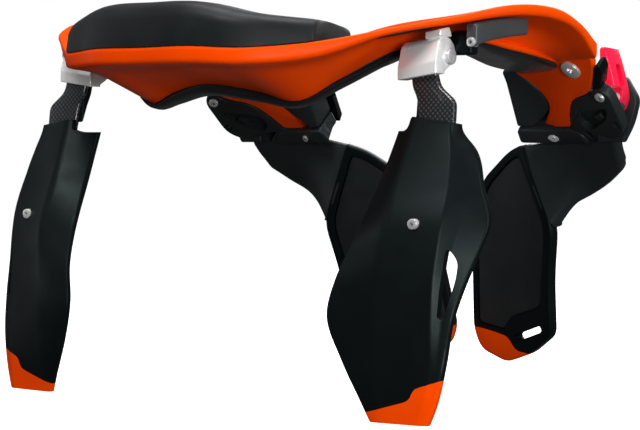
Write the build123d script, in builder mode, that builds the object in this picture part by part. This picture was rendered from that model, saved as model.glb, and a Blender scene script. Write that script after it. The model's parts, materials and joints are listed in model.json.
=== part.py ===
"""Neck brace for motorcycle and snowmobile riders.

Frame: millimetres, +Z up, +X to the wearer's right, +Y towards the chest.
The brace stands on its two back wings and its two chest tips at z = 0.
Right-hand pieces are modelled and left-hand pieces are their mirror images.
"""
from build123d import *
import os

os.makedirs("parts", exist_ok=True)

# Driving dimensions
SHELL_WALL = 4.5
RIM_WALL = 5.0
DECK_WALL = 3.5
PLATE_WALL = 4.5
BODY_DEPTH = 15.0
FIT_GAP = 0.4
WING_WALL = 3.6
CHEST_WALL = 3.5
CHEST_RIM = 3.0
TABLE_TOP = 193.5
TABLE_BASE = 184.5
PIN_RADIUS = 2.5
BOLT_RADIUS = 3.0
SHAFT_GAP = 0.05
LID_GAP = 1.0
LIFT = 2.0

# Wing hinge bolt (parallel to X) and latch pin (parallel to Y), right side
BOLT_Y = -67.5
BOLT_Z = 172.5
LATCH_X = 132.0
LATCH_Z = 155.5

# Sloping plane of the side plates and the latch, and the plane of the chest plates
PLATE_ORIGIN = Vector(98, 98, 140)
PLATE_NORMAL = Vector(0.196, 0.655, 0.730)
CHEST_ORIGIN = Vector(60.6, 109.6, 129.5)
CHEST_NORMAL = Vector(0.314, 0.933, 0.177)


def facing_wearer(origin, normal):
    """Plane with its own X level and outboard, Y upwards and Z towards the wearer."""
    level = Vector(normal.Y, -normal.X, 0)
    return Plane(origin=origin, x_dir=level, z_dir=normal * -1)


PLATE_PLANE = facing_wearer(PLATE_ORIGIN, PLATE_NORMAL)
CHEST_PLANE = facing_wearer(CHEST_ORIGIN, CHEST_NORMAL)

# Stations around the right half of the ring, from the spine to the front end:
# outer point, neck point, rim top, rim base, knee (in, z), low edge (in, z), pad drop,
# neck edge base, neck edge top.  "in" is measured from the outer point to the neck.
STATIONS = [
    ((0, -158), (0, -76), 176.6, 168.6, (22, 167), (54, 160), 6, 160, 182),
    ((30, -156.5), (26, -75), 176.8, 168.6, (22, 167), (60, 156), 6, 158, 182),
    ((52, -148), (42, -70), 175.8, 168, (20, 166), (58, 151), 3.5, 157, 182),
    ((79, -122), (58, -57), 178.8, 171.5, (18, 170), (44, 160), 5, 162, 183.5),
    ((105, -97), (68, -40), 185.5, 182.3, (22, 183), (36, 173.5), 5, 168.5, 187),
    ((128, -72), (73, -22), 191.8, 187.9, (32, 188.4), (42, 180.4), 4, 174.5, 191),
    ((143, -42), (75, -4), 198.2, 192.9, (30, 191.9), (39, 182), 4.6, 177, 192.5),
    ((149, -10), (76, 12), 197.9, 192.5, (27, 190.5), (38, 179.8), 5.2, 175, 190.5),
    ((148.5, 15), (77, 38), 192.2, 187.2, (24, 186), (37, 177.2), 5.2, 171.5, 187.5),
    ((146, 38), (78, 72), 183, 174.5, (20, 175), (38, 173.4), 4.2, 168.5, 185),
]
PAD_SPLIT = 4
ROLL_RISE = [21, 20.5, 17.5, 8]


def station_plane(station):
    """Upright plane through the outer and neck points, X inwards and Y up."""
    outer, neck = station[0], station[1]
    inwards = Vector(neck[0] - outer[0], neck[1] - outer[1], 0)
    upright = Vector(inwards.Y, -inwards.X, 0)
    return Plane(origin=(outer[0], outer[1], 0), x_dir=inwards, z_dir=upright), inwards.length


def shell_outline(station, span):
    _, _, top, base, knee, low, _, _, _ = station
    return [(0, top), (0, base), knee, low, (low[0], low[1] + SHELL_WALL),
            (knee[0], knee[1] + SHELL_WALL - 0.5), (RIM_WALL, base + SHELL_WALL), (RIM_WALL, top)]


def deck_outline(station, span):
    _, _, top, _, _, _, _, _, neck_top = station
    return [(RIM_WALL, top - DECK_WALL), (span, neck_top - DECK_WALL), (span, neck_top), (RIM_WALL, top)]


def pad_outline(station, span):
    _, _, _, _, _, low, drop, neck_base, neck_top = station
    reach, edge = low
    lid = neck_top - DECK_WALL - LID_GAP
    return [(reach - 3, edge - 1.5), (reach - 1, edge - drop * 0.7), (reach + 6, edge - drop),
            (span - 5, neck_base), (span, neck_base + 4), (span, lid), (span - 8, lid),
            (reach, edge + SHELL_WALL), (reach, edge)]


def rear_pad_outline(station, span):
    """Roll behind the neck, standing on the deck: full height at the spine, thin at its ends."""
    _, _, top, _, _, _, _, _, neck_top = station
    slope = (neck_top - top) / (span - RIM_WALL)
    rise = ROLL_RISE[STATIONS.index(station)]
    return [(0.3, top + 0.1), (RIM_WALL, top + 0.1), (span - 2, neck_top + 0.1 - 2 * slope),
            (span - 5, neck_top + rise * 0.4), (26, top + rise), (8, top + rise), (2, top + rise * 0.8)]


def ring_piece(stations, outline):
    """Ruled solid through the stations of the right half."""
    with BuildPart() as half:
        for station in stations:
            plane, span = station_plane(station)
            with BuildSketch(plane):
                with BuildLine():
                    Polyline(*outline(station, span), close=True)
                make_face()
        loft(ruled=True)
    return half.part


def save(part, name):
    """Write one piece, raised so that the wings and chest tips stand on z = 0."""
    piece = part.moved(Location((0, 0, LIFT)))
    piece.label = name
    export_step(piece, f"parts/{name}.step")


def save_pair(part, name):
    """Write the right-hand piece and its mirror image."""
    save(part, f"{name}_right")
    save(mirror(part, about=Plane.YZ), f"{name}_left")


def save_joined(part, name):
    """Write one piece made of the right half and its mirror image."""
    with BuildPart() as whole:
        add(part)
        mirror(about=Plane.YZ)
    save(whole.part, name)


def slab(plane, outline, forward, backward=0.0):
    """Flat plate: its face towards the wearer lies on the plane and it grows away from them."""
    with BuildPart() as plate:
        with BuildSketch(plane):
            with BuildLine():
                Polyline(*outline, close=True)
            make_face()
        extrude(amount=-forward)
        if backward:
            with BuildSketch(plane):
                with BuildLine():
                    Polyline(*outline, close=True)
                make_face()
            extrude(amount=backward)
    return plate.part


# --- Ring: orange shell, deck, pads ---------------------------------------------------
save_joined(ring_piece(STATIONS, shell_outline), "ring_shell")
save_joined(ring_piece(STATIONS, deck_outline), "ring_deck")
save_joined(ring_piece(STATIONS[:PAD_SPLIT], rear_pad_outline), "rear_pad")
save_joined(ring_piece(STATIONS[:PAD_SPLIT + 1], pad_outline), "spine_pad")
save_pair(ring_piece(STATIONS[PAD_SPLIT:], pad_outline), "shoulder_pad")

# --- Side plate with its tongue and flange screw --------------------------------------
TONGUE = [(-22, -1), (0.5, -1), (8, 11), (17, 21), (33, 24.5), (52, 48), (54, 75), (-12, 60),
          (-12, 43), (-5, 35), (-1.5, 24), (-4.5, 14)]
SCREW_SPOT = (33, 44)
ring_end, _ = station_plane(STATIONS[-1])

with BuildPart() as side_plate:
    with BuildSketch(PLATE_PLANE):
        with BuildLine():
            Polyline(*TONGUE, close=True)
        make_face()
        with Locations(SCREW_SPOT):
            Circle(2.6, mode=Mode.SUBTRACT)
    extrude(amount=-PLATE_WALL)
    split(bisect_by=ring_end, keep=Keep.TOP)
save_pair(side_plate.part, "side_plate")

with BuildPart() as side_screw:
    with BuildSketch(PLATE_PLANE):
        with Locations(SCREW_SPOT):
            Circle(5.6)
    extrude(amount=1.4)
    with BuildSketch(PLATE_PLANE):
        with Locations(SCREW_SPOT):
            Circle(2.55)
    extrude(amount=-PLATE_WALL)
    with BuildSketch(PLATE_PLANE.offset(1.4)):
        with Locations(SCREW_SPOT):
            RegularPolygon(2.1, 6)
    extrude(amount=-3, mode=Mode.SUBTRACT)
save_pair(side_screw.part, "side_screw")

# --- Core: fixed block between the tongue and the neck -------------------------------------
CORE = [(-24, 40), (-31, -0.8), (-22.3, -0.8), (-4.9, 14.2), (-1.5, 24.2), (8, 24.4), (8, 30), (-8, 36)]
with BuildPart() as side_core:
    add(slab(PLATE_PLANE, CORE, BODY_DEPTH))
    add(slab(PLATE_PLANE, TONGUE, PLATE_WALL), mode=Mode.SUBTRACT)
save_pair(side_core.part, "side_core")

# --- Front section: side body below and in front of the tongue -----------------------------
BODY = [(-36, -12), (6, -14), (24, -8), (27, 0), (27, 22), (17, 21.6), (-0.6, 23.6), (-4, 14), (-21.5, -1.5),
        (-31.7, -1.5)]
BAND = [(-36, -12), (-31.7, -1.5), (0.5, -2), (6, -6), (6, -14)]
BAND_HEIGHT = 1.5
FRONT_RAIL_Y = (97.0, 103.0)
LEVER_HUB = 9.6
LEVER_NECK_Y = 87.2
TONGUE_ROOM = [(-22.6, -1.5), (0.8, -1.5), (8.5, 10.6), (17.2, 20.5), (33, 24.1), (33, 50), (-12.5, 60),
               (-12.5, 42.8), (-5.5, 34.8), (-2, 24), (-5, 14.2)]
with BuildPart() as side_body:
    add(slab(PLATE_PLANE, BODY, BODY_DEPTH))
    with BuildSketch(PLATE_PLANE):
        with BuildLine():
            Polyline(*TONGUE_ROOM, close=True)
        make_face()
    extrude(amount=-(PLATE_WALL + FIT_GAP), mode=Mode.SUBTRACT)
    add(slab(PLATE_PLANE, BAND, -BAND_HEIGHT))
    with BuildSketch(Plane.XZ.offset(-FRONT_RAIL_Y[0])):
        with Locations((LATCH_X, LATCH_Z)):
            Circle(LEVER_HUB + FIT_GAP)
    extrude(amount=FRONT_RAIL_Y[0] - LEVER_NECK_Y, mode=Mode.SUBTRACT)
save_pair(side_body.part, "side_body")

# --- Latch frame: rear rail with the pin eye, front rail, bridge between them -----------
REAR_RAIL = [(27.5, -7.5), (31, -9), (40, 0), (45.5, 22), (43, 27.5), (38, 28), (34, 24.6), (27.5, 22)]
BLOCK = [(27.5, -7.5), (31, -9), (40, 0), (41.5, 8), (27.5, 10)]
HOLE_SPOT = (36.5, 0.7)
RAIL_WALL = 5.0
FRONT_RAIL = [(116, 131), (131, 131), (136.5, 141), (140, 154.5), (131.5, 168), (126, 165), (126, 150),
              (116, 146)]
HOLE_RADIUS = 2.2

with BuildPart() as latch_frame:
    add(slab(PLATE_PLANE, REAR_RAIL, RAIL_WALL))
    add(slab(PLATE_PLANE, BLOCK, 20))
    with BuildSketch(Plane.XZ.offset(-FRONT_RAIL_Y[1])):
        with BuildLine():
            Polyline(*FRONT_RAIL, close=True)
        make_face()
    extrude(amount=FRONT_RAIL_Y[1] - FRONT_RAIL_Y[0])
    add(slab(PLATE_PLANE, BODY, BODY_DEPTH), mode=Mode.SUBTRACT)
    with BuildSketch(Plane.XZ.offset(-FRONT_RAIL_Y[0])):
        with Locations((LATCH_X, LATCH_Z)):
            Circle(LEVER_HUB + FIT_GAP)
    extrude(amount=FRONT_RAIL_Y[0] - LEVER_NECK_Y, mode=Mode.SUBTRACT)
    with BuildSketch(Plane.XZ.offset(-110)):
        with Locations((LATCH_X, LATCH_Z)):
            Circle(PIN_RADIUS + SHAFT_GAP)
    extrude(amount=60, mode=Mode.SUBTRACT)
    with BuildSketch(PLATE_PLANE):
        with Locations(HOLE_SPOT):
            Circle(HOLE_RADIUS)
    extrude(amount=-30, mode=Mode.SUBTRACT)
save_pair(latch_frame.part, "latch_frame")

with BuildPart() as latch_pin:
    with BuildSketch(Plane.XZ.offset(-FRONT_RAIL_Y[1])):
        with Locations((LATCH_X, LATCH_Z)):
            Circle(PIN_RADIUS)
    extrude(amount=FRONT_RAIL_Y[1] - 69)
save_pair(latch_pin.part, "latch_pin")

# --- Latch lever with its finger window -------------------------------------------------
LEVER_Y = (79.0, 96.5)
LEVER = [(128, 149.5), (132.5, 147), (137, 149), (139.5, 156), (137.5, 163), (133.5, 174), (129.5, 182.5),
         (126.5, 181.5), (127, 172), (126, 160)]
with BuildPart() as latch_lever:
    with BuildSketch(Plane.XZ.offset(-LEVER_Y[1])):
        with BuildLine():
            Polyline(*LEVER, close=True)
        make_face()
        with Locations((LATCH_X, LATCH_Z)):
            Circle(PIN_RADIUS + SHAFT_GAP, mode=Mode.SUBTRACT)
    extrude(amount=LEVER_Y[1] - LEVER_Y[0])
    with BuildSketch(Plane.YZ.offset(120)):
        with Locations((89, 167)):
            SlotOverall(13, 5.5, rotation=90)
    extrude(amount=30, mode=Mode.SUBTRACT)
    with BuildSketch(Plane.XZ.offset(-LEVER_NECK_Y - FIT_GAP)):
        with Locations((135, 152)):
            Rectangle(30, 22)
    extrude(amount=20, mode=Mode.SUBTRACT)
save_pair(latch_lever.part, "latch_lever")

# --- Chest arm, chest plate with its strap slot, lining and tip ---------------------------
CHEST = [(0, 0), (-12, -4), (-38, -21), (-50, -42), (-54, -64), (-60, -95), (-62, -112), (-56, -123),
         (-33, -133.2), (-15, -125), (6, -112), (10.5, -80), (19, -48), (12, -28)]
ARM_ENDS = [  # upper corner, lower corner, forward direction, depth
    (Vector(61, 109.8, 129), Vector(81, 111.8, 83), CHEST_NORMAL, 11),
    (Vector(127, 101, 131.5), Vector(121.5, 118, 115), PLATE_NORMAL, 8),
]
with BuildPart() as chest_arm:
    for upper, lower, forward, depth in ARM_ENDS:
        edge = lower - upper
        with BuildSketch(Plane(origin=upper, x_dir=edge, z_dir=edge.cross(forward))):
            with BuildLine():
                Polyline((0, 0), (edge.length, 0), (edge.length, depth), (0, depth), close=True)
            make_face()
    loft(ruled=True)
    add(side_body.part, mode=Mode.SUBTRACT)
    add(latch_frame.part, mode=Mode.SUBTRACT)
    add(slab(CHEST_PLANE, CHEST, CHEST_WALL + CHEST_RIM), mode=Mode.SUBTRACT)
save_pair(chest_arm.part, "chest_arm")

LINING = [(-3, -6), (-12, -9), (-34.5, -24.5), (-46, -44), (-49.8, -65), (-56, -96), (-57, -108), (-34, -112),
          (-27, -104), (1, -96), (5.5, -79), (13.5, -49), (7, -30)]
TIP_TOP = [(-80, -110), (-52, -112.5), (-34, -115.5), (-28, -124), (-10, -125.5), (-10, -140), (-80, -140)]
SLOT_SPOT = (-14.6, -110.8)
with BuildPart() as chest_plate:
    add(slab(CHEST_PLANE, CHEST, CHEST_WALL + CHEST_RIM))
    add(slab(CHEST_PLANE, LINING, CHEST_RIM), mode=Mode.SUBTRACT)
    add(slab(CHEST_PLANE, TIP_TOP, 20), mode=Mode.SUBTRACT)
    with BuildSketch(CHEST_PLANE):
        with Locations(SLOT_SPOT):
            SlotOverall(25, 4.6, rotation=18)
    extrude(amount=-20, mode=Mode.SUBTRACT)
save_pair(chest_plate.part, "chest_plate")
save_pair(slab(CHEST_PLANE.offset(-CHEST_RIM), LINING, -2.2), "chest_lining")

with BuildPart() as chest_tip:
    add(slab(CHEST_PLANE, CHEST, CHEST_WALL + CHEST_RIM))
    add(slab(CHEST_PLANE, TIP_TOP, 20), mode=Mode.INTERSECT)
save_pair(chest_tip.part, "chest_tip")

# --- Front table, hidden below the chin, and its pad ---------------------------------------
with BuildPart() as front_table:
    with BuildSketch(Plane.XY.offset(TABLE_BASE)):
        with BuildLine():
            ThreePointArc((92, 104), (0, 158), (-92, 104))
            Line((-92, 104), (-66, 92))
            ThreePointArc((-66, 92), (0, 128), (66, 92))
            Line((66, 92), (92, 104))
        make_face()
    extrude(amount=TABLE_TOP - TABLE_BASE - 3)
save(front_table.part, "front_table")
with BuildPart() as front_pad:
    with BuildSketch(Plane.XY.offset(TABLE_TOP - 3)):
        with BuildLine():
            ThreePointArc((86, 104), (0, 154), (-86, 104))
            Line((-86, 104), (-66, 95))
            ThreePointArc((-66, 95), (0, 130), (66, 95))
            Line((66, 95), (86, 104))
        make_face()
    extrude(amount=3)
save(front_pad.part, "front_pad")
# --- Post: stands in front of the core, foot on the side body, head under the table ----------
POST_FOOT = [(-30, -10), (-8, -10), (-8, 22), (-30, 22)]
POST_WALL = 6.0
POST_CLEAR = [(-40, -1.2), (20, -1.2), (20, 60), (-40, 60)]
with BuildPart() as table_post:
    with BuildSketch(Plane.XY.offset(TABLE_BASE)):
        with BuildLine():
            Polyline((66, 100.5), (88, 101), (86, 109), (68, 109), close=True)
        make_face()
    extrude(amount=-28)
    add(slab(PLATE_PLANE.offset(-BODY_DEPTH), POST_FOOT, POST_WALL))
    add(slab(PLATE_PLANE, POST_CLEAR, BODY_DEPTH + FIT_GAP), mode=Mode.SUBTRACT)
save_pair(table_post.part, "table_post")

# --- Back wing: hinge block, bolt, strut, shell, pads, tip, screw ----------------------------
WING = [  # height: medial edge, ridge medial, ridge lateral, bevel, lateral edge
    (137, (97, -76), (110.3, -87.5), (131, -83.6), (132, -81), (133, -78)),
    (127, (96, -81), (109.5, -92), (133, -87), (137.5, -82), (140.5, -77)),
    (110, (94, -90), (108.7, -99.9), (135.5, -93), (142, -86), (147, -81)),
    (92, (91, -101), (109, -107.5), (135.9, -100), (142, -92), (152, -83.5)),
    (83, (89.5, -106), (108.8, -110), (135.5, -102), (140.5, -95.5), (150.5, -87)),
    (66, (86.5, -112), (107.4, -112.7), (134.3, -104.5), (138.8, -99.5), (146, -94)),
    (48, (83.5, -114.5), (106.3, -113.2), (134, -106), (138, -102.5), (142, -100.5)),
    (27, (88.5, -112.5), (105, -112), (134.5, -107), (137.5, -105.5), (141, -104)),
    (-2, (102, -108.5), (106, -109.5), (127, -108.5), (129, -108), (130, -107)),
]
TIP_LINE = [(60, 2), (100.5, 2.4), (124, 9.5), (126, 15), (142, 20.5), (160, 20.5), (160, -10), (60, -10)]
WINDOW = [(140.6, 82), (145, 74), (144.6, 66), (140.6, 47), (138.4, 49), (139, 62)]
WING_HOLE = (123, 92.5)


def wing_section(row, wall):
    """Closed outline of the wing at one height, rear face first and then the front face."""
    rear = list(row[1:])
    front = [(x, y + wall) for x, y in reversed(rear)]
    return rear + front


def wing_body(rows, wall):
    with BuildPart() as body:
        for row in rows:
            with BuildSketch(Plane.XY.offset(row[0])):
                with BuildLine():
                    Polyline(*wing_section(row, wall), close=True)
                make_face()
        loft(ruled=True)
    return body.part


def upright(outline, near, far):
    """Prism of an X-Z outline between two Y values."""
    with BuildPart() as prism:
        with BuildSketch(Plane.XZ.offset(-far)):
            with BuildLine():
                Polyline(*outline, close=True)
            make_face()
        extrude(amount=far - near)
    return prism.part


wing_blank = wing_body(WING, WING_WALL)
with BuildPart() as wing_lip_block:
    with BuildSketch(Plane.XY.offset(136.9)):
        with BuildLine():
            Polyline((110.3, -87.5), (131, -83.6), (131, -80), (110.3, -83.9), close=True)
        make_face()
    extrude(amount=6)
    add(upright([(105, 130), (105, 143.6), (136, 139.2), (136, 130)], -95, -70), mode=Mode.INTERSECT)
wing_lip = wing_lip_block.part
with BuildPart() as wing_shell:
    add(wing_blank)
    add(wing_lip)
    add(upright(TIP_LINE, -130, -60), mode=Mode.SUBTRACT)
    add(upright(WINDOW, -130, -60), mode=Mode.SUBTRACT)
    with BuildSketch(Plane.XZ.offset(60)):
        with Locations(WING_HOLE):
            Circle(2.0)
    extrude(amount=60, mode=Mode.SUBTRACT)
save_pair(wing_shell.part, "wing_shell")
with BuildPart() as wing_tip:
    add(wing_blank)
    add(upright(TIP_LINE, -130, -60), mode=Mode.INTERSECT)
save_pair(wing_tip.part, "wing_tip")


def wing_row(height):
    """Wing outline at any height, between the listed ones."""
    for upper, lower in zip(WING, WING[1:]):
        if upper[0] >= height >= lower[0]:
            share = (upper[0] - height) / (upper[0] - lower[0])
            points = [(a[0] + (b[0] - a[0]) * share, a[1] + (b[1] - a[1]) * share)
                      for a, b in zip(upper[1:], lower[1:])]
            return points
    raise ValueError(height)


def wing_pad(heights, thickness):
    """Soft pad on the wing's front face, from the medial edge to the ridge's lateral edge."""
    with BuildPart() as pad:
        for height in heights:
            medial, inner, outer = wing_row(height)[:3]
            back = WING_WALL + 0.3
            with BuildSketch(Plane.XY.offset(height)):
                with BuildLine():
                    Polyline((medial[0] + 2, medial[1] + back), (inner[0], inner[1] + back),
                             (outer[0] - 1, outer[1] + back), (outer[0] - 1, outer[1] + back + thickness),
                             (inner[0], inner[1] + back + thickness),
                             (medial[0] + 2, medial[1] + back + thickness), close=True)
                make_face()
        loft(ruled=True)
    return pad.part


SCREW_DEPTH = 100.4
PAD_BANDS = {"upper": (120.5, 110, 104), "middle": (101, 94, 83, 66, 62), "lower": (59, 48, 21, 12)}
for band, heights in PAD_BANDS.items():
    save_pair(wing_pad(heights, 5.5), f"wing_pad_{band}")

with BuildPart() as wing_screw:
    with BuildSketch(Plane.XZ.offset(SCREW_DEPTH)):
        with Locations(WING_HOLE):
            Circle(2.0 - SHAFT_GAP)
            RegularPolygon(1.1, 6, mode=Mode.SUBTRACT)
    extrude(amount=2.4)
save_pair(wing_screw.part, "wing_screw")

STRUT_SIDE = [(-77, 161.9), (-79.4, 141), (-83, 122), (-79.5, 122), (-75.9, 141), (-73.5, 161.9)]
STRUT_FACE = [(104.8, 170), (118.5, 170), (118.5, 161), (120.5, 158), (130, 150.5), (130.2, 139), (128.5, 120),
              (112, 120), (110.8, 141), (109, 152), (105.5, 158)]
with BuildPart() as wing_strut:
    with BuildSketch(Plane.YZ.offset(95)):
        with BuildLine():
            Polyline(*STRUT_SIDE, close=True)
        make_face()
    extrude(amount=45)
    add(upright(STRUT_FACE, -95, -70), mode=Mode.INTERSECT)
save_pair(wing_strut.part, "wing_strut")

STRUT_RIB = [(-73.4, 161.9), (-62.5, 161.9), (-64, 157), (-71, 148), (-74.5, 141.5), (-75.9, 141)]
with BuildPart() as strut_rib:
    with BuildSketch(Plane.YZ.offset(108.5)):
        with BuildLine():
            Polyline(*STRUT_RIB, close=True)
        make_face()
    extrude(amount=4)
save_pair(strut_rib.part, "strut_rib")

CHEEK = [(-80, 162), (-80, 175), (-76, 177.8), (-67, 178), (-62.5, 173), (-63.5, 168), (-70, 164), (-74.5, 162)]
BAR = [(-80, 162), (-80, 175), (-76, 177.8), (-74.8, 177.8), (-74.8, 162)]
with BuildPart() as hinge_block:
    with BuildSketch(Plane.YZ.offset(95.5)):
        with BuildLine():
            Polyline(*CHEEK, close=True)
        make_face()
    extrude(amount=3.6)
    with BuildSketch(Plane.YZ.offset(120)):
        with BuildLine():
            Polyline(*CHEEK, close=True)
        make_face()
    extrude(amount=4)
    with BuildSketch(Plane.YZ.offset(99)):
        with BuildLine():
            Polyline(*BAR, close=True)
        make_face()
    extrude(amount=21.2)
    with BuildSketch(Plane.YZ.offset(90)):
        with Locations((BOLT_Y, BOLT_Z)):
            Circle(BOLT_RADIUS + SHAFT_GAP)
    extrude(amount=40, mode=Mode.SUBTRACT)
save_pair(hinge_block.part, "hinge_block")

# --- Wing bracket under the flange, its screw and the hinge bolt -----------------------------
ARM_STEPS = [(-52, 129.5, 181.1, 10, 9), (-34, 129.5, 185.3, 9, 8), (-12, 133.5, 186.6, 8, 7)]
with BuildPart() as wing_bracket:
    for y, x, z, width, height in ARM_STEPS:
        with BuildSketch(Plane.XZ.offset(-y)):
            with Locations((x, z)):
                Rectangle(width, height)
    loft(ruled=True)
    with BuildSketch(Plane.XY.offset(168)):
        with Locations((117, -55.5)):
            Rectangle(35, 5)
    extrude(amount=6.5)
    with BuildSketch(Plane.XY.offset(171)):
        with Locations((129.5, -56)):
            Rectangle(10, 12)
    extrude(amount=9.8)
    with BuildSketch(Plane.YZ.offset(99.5)):
        with BuildLine():
            Polyline((-73.5, 168.5), (-73.5, 176), (-71, 177), (-65, 177), (-58, 174.5), (-53, 174.5),
                     (-53, 168), (-63, 166.5), (-71, 166.5), close=True)
        make_face()
    extrude(amount=20.1)
    with BuildSketch(Plane.YZ.offset(90)):
        with Locations((BOLT_Y, BOLT_Z)):
            Circle(BOLT_RADIUS + SHAFT_GAP)
    extrude(amount=33, mode=Mode.SUBTRACT)
save_pair(wing_bracket.part, "wing_bracket")

with BuildPart() as hinge_bolt:
    with BuildSketch(Plane.YZ.offset(93.4)):
        with Locations((BOLT_Y, BOLT_Z)):
            Circle(4.0)
    extrude(amount=2)
    with BuildSketch(Plane.YZ.offset(95.4)):
        with Locations((BOLT_Y, BOLT_Z)):
            Circle(BOLT_RADIUS)
    extrude(amount=28.8)
    with BuildSketch(Plane.YZ.offset(124.2)):
        with Locations((BOLT_Y, BOLT_Z)):
            Circle(4.2)
    extrude(amount=1.6)
    with BuildSketch(Plane.YZ.offset(93.4)):
        with Locations((BOLT_Y, BOLT_Z)):
            RegularPolygon(2.6, 6)
    extrude(amount=1.4, mode=Mode.SUBTRACT)
save_pair(hinge_bolt.part, "hinge_bolt")

with BuildPart() as bracket_screw:
    with BuildSketch(Plane.XZ.offset(62.05)):
        with Locations((130.5, 178)):
            Circle(2.6)
            RegularPolygon(1.3, 6, mode=Mode.SUBTRACT)
    extrude(amount=1.2)
save_pair(bracket_screw.part, "bracket_screw")

BAND_SCREW = (-14, -7.5)
with BuildPart() as band_screw:
    with BuildSketch(PLATE_PLANE.offset(3.05)):
        with Locations(BAND_SCREW):
            Circle(2.0)
            RegularPolygon(1.0, 6, mode=Mode.SUBTRACT)
    extrude(amount=0.9)
save_pair(band_screw.part, "band_screw")
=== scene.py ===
"""Looks of the neck brace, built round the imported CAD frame.

Outlines and sections are written in millimetres, and mesh_object turns them into metres. Heights count from
LIFT above the surface that the brace stands on. Right-hand pieces are built and mirrored for the left.
"""
import json
import math
from collections import namedtuple

import bmesh
import bpy
import numpy as np
from mathutils import Matrix, Vector


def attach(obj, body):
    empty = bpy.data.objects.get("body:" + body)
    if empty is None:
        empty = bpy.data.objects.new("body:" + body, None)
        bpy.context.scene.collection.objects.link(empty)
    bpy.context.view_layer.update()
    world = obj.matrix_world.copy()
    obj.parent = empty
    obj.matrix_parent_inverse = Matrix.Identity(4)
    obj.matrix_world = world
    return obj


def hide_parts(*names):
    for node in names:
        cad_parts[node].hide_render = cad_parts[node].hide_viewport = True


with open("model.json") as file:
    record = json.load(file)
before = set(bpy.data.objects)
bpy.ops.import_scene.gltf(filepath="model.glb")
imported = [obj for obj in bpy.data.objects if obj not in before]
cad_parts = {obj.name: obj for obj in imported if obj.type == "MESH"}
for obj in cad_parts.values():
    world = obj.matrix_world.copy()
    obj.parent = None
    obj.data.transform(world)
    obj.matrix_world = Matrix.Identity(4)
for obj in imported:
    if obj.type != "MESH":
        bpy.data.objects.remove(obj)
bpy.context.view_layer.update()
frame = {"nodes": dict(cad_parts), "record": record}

MM = 0.001
LIFT = 2.0


# --- Camera and light ------------------------------------------------------------------------
CAMERA_PLACE = (0.6375, -0.9148, 0.1332)
CAMERA_DIP = math.radians(2.053)
CAMERA_TURN = math.radians(35)

camera_data = bpy.data.cameras.new("camera")
camera_data.sensor_width = 36
camera_data.lens = 114.79
camera = bpy.data.objects.new("camera", camera_data)
camera.location = CAMERA_PLACE
camera.rotation_euler = (math.pi / 2 - CAMERA_DIP, 0, CAMERA_TURN)
bpy.context.scene.collection.objects.link(camera)
bpy.context.scene.camera = camera


def softbox(name, location, aim, size, power, tint=(1, 1, 1)):
    data = bpy.data.lights.new(name, "AREA")
    data.shape = "RECTANGLE"
    data.size, data.size_y = size
    data.energy = power
    data.color = tint
    lamp = bpy.data.objects.new(name, data)
    lamp.location = location
    lamp.rotation_euler = (Vector(aim) - Vector(location)).to_track_quat("-Z", "Y").to_euler()
    bpy.context.scene.collection.objects.link(lamp)


softbox("key", (0.25, -1.0, 1.35), (0, -0.05, 0.12), (0.6, 0.5), 14.5)
softbox("right_strip", (1.25, 0.1, 0.35), (0.05, 0, 0.1), (0.25, 0.9), 6)
softbox("left_strip", (-1.2, -0.55, 0.4), (-0.05, 0, 0.1), (0.25, 0.9), 1.5)
softbox("top", (0.1, 0.15, 1.3), (0, 0, 0.1), (0.9, 0.9), 17)
softbox("low_fill", (1.0, -0.8, 0.04), (0.1, 0, 0.16), (0.5, 0.5), 14)
softbox("metal_kick", (-0.57, -0.87, 0.76), (0.1, -0.08, 0.17), (0.5, 0.5), 0.7)
softbox("back_rim", (-0.3, 1.2, 0.6), (0, 0, 0.15), (1.0, 0.4), 4)

world = bpy.data.worlds.new("studio")
world.use_nodes = True
sky = world.node_tree.nodes["Background"]
sky.inputs["Color"].default_value = (1, 1, 1, 1)
sky.inputs["Strength"].default_value = 0.08
bpy.context.scene.world = world
bpy.context.scene.view_settings.view_transform = "Standard"


# --- Materials ---------------------------------------------------------------------------------
class Look:
    """A Principled material whose colour, roughness and bump come from procedural nodes."""

    def __init__(self, name, **values):
        self.material = bpy.data.materials.new(name)
        self.material.use_nodes = True
        self.tree = self.material.node_tree
        self.shader = self.tree.nodes["Principled BSDF"]
        for socket, value in values.items():
            self.shader.inputs[socket.replace("_", " ")].default_value = value
        self.where = self.add("ShaderNodeTexCoord").outputs["Object"]

    def add(self, kind, **settings):
        node = self.tree.nodes.new(kind)
        for key, value in settings.items():
            setattr(node, key, value)
        return node

    def link(self, output, target):
        self.tree.links.new(output, target)

    def noise(self, scale, detail=4.0):
        node = self.add("ShaderNodeTexNoise")
        node.inputs["Scale"].default_value = scale
        node.inputs["Detail"].default_value = detail
        self.link(self.where, node.inputs["Vector"])
        return node.outputs["Fac"]

    def ramp(self, source, low, high, at=(0.35, 0.65)):
        node = self.add("ShaderNodeValToRGB")
        for element, place, value in zip(node.color_ramp.elements, at, (low, high)):
            element.position = place
            element.color = (*value, 1) if hasattr(value, "__len__") else (value, value, value, 1)
        self.link(source, node.inputs["Fac"])
        return node.outputs["Color"]

    def colour(self, source, low, high, at=(0.35, 0.65)):
        self.link(self.ramp(source, low, high, at), self.shader.inputs["Base Color"])

    def roughness(self, source, low, high, at=(0.35, 0.65)):
        self.link(self.ramp(source, low, high, at), self.shader.inputs["Roughness"])

    def bump(self, *layers):
        normal = None
        for source, strength, depth in layers:
            node = self.add("ShaderNodeBump")
            node.inputs["Strength"].default_value = strength
            node.inputs["Distance"].default_value = depth
            self.link(source, node.inputs["Height"])
            if normal:
                self.link(normal, node.inputs["Normal"])
            normal = node.outputs["Normal"]
        self.link(normal, self.shader.inputs["Normal"])


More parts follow.
